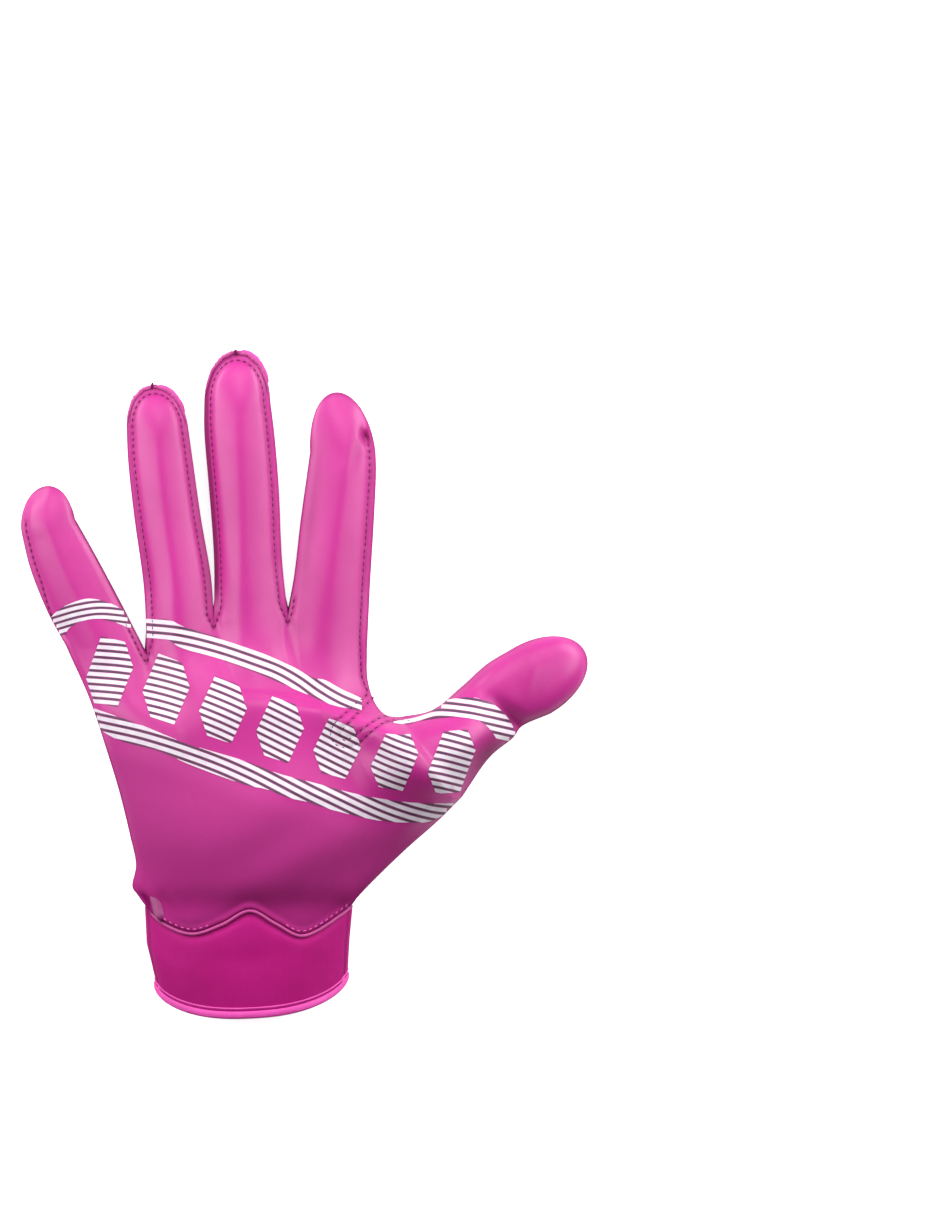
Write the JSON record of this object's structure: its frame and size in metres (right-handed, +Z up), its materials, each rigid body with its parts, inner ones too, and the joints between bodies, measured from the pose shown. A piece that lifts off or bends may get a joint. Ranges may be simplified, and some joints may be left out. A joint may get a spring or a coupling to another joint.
{
  "type": "football glove",
  "caption": "Right-hand football receiver's glove, lying palm up and empty, with a tacky palm, side walls between the fingers and a strapped cuff.",
  "frame": {"origin": "middle of the glove's box, on the surface that its back lies on", "axes": "+Y from the cuff to the fingertips, +X towards the thumb, +Z up out of the palm"},
  "size_m": [0.2042, 0.2402, 0.0363],
  "materials": {
    "palm_coating": "semi-gloss silicone-coated synthetic leather",
    "back_knit": "matt stretch knit",
    "cuff_satin": "satin-faced neoprene",
    "binding": "woven tape and cord",
    "strap": "brushed loop fabric",
    "print_white": "matt screen print",
    "print_grey": "matt screen print",
    "thread": "twisted polyester thread"
  },
  "bodies": {
    "root": {"palm_panel": "palm_coating", "back_panel": "back_knit", "thumb_back": "back_knit", "side_wall_little_ring": "back_knit", "side_wall_ring_middle": "back_knit", "side_wall_middle_index": "back_knit", "cuff_front": "cuff_satin", "cuff_back": "cuff_satin", "cuff_binding": "binding", "wave_piping": "binding", "wrist_strap": "strap"}
  },
  "joints": []
}
